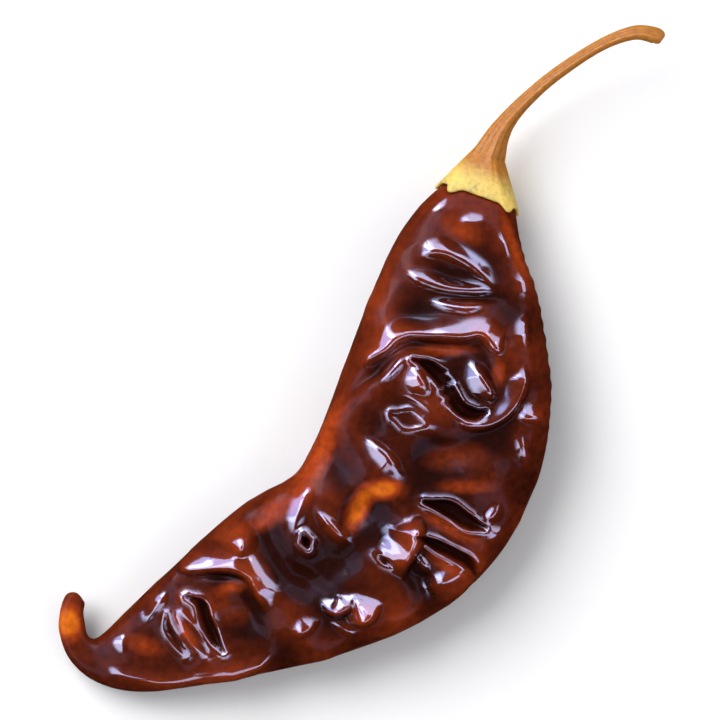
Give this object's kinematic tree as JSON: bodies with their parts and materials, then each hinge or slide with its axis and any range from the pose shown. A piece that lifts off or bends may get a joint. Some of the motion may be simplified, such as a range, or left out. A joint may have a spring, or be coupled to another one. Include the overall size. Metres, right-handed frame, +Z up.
{
  "type": "dried chilli pepper",
  "caption": "Dried red chilli pod with crumpled glossy skin, bent to a crescent, with a hooked tip, a calyx and a curved woody stem, lying on its side.",
  "frame": {"origin": "on the surface that the pod lies on, at the middle of the flat spot under its belly, close under its centre of mass", "axes": "+Z up from the surface; +Y along the longest extent, towards the neck and the stem; +X towards the outside of the bend"},
  "size_m": [0.0908, 0.1, 0.0169],
  "materials": {
    "skin": "smooth, glossy, crumpled dried skin, deep red-brown",
    "stem": "dry, finely ribbed, tan-orange stem with a paler calyx"
  },
  "bodies": {
    "root": {"pod": "skin", "stem_with_calyx": "stem"}
  },
  "joints": []
}
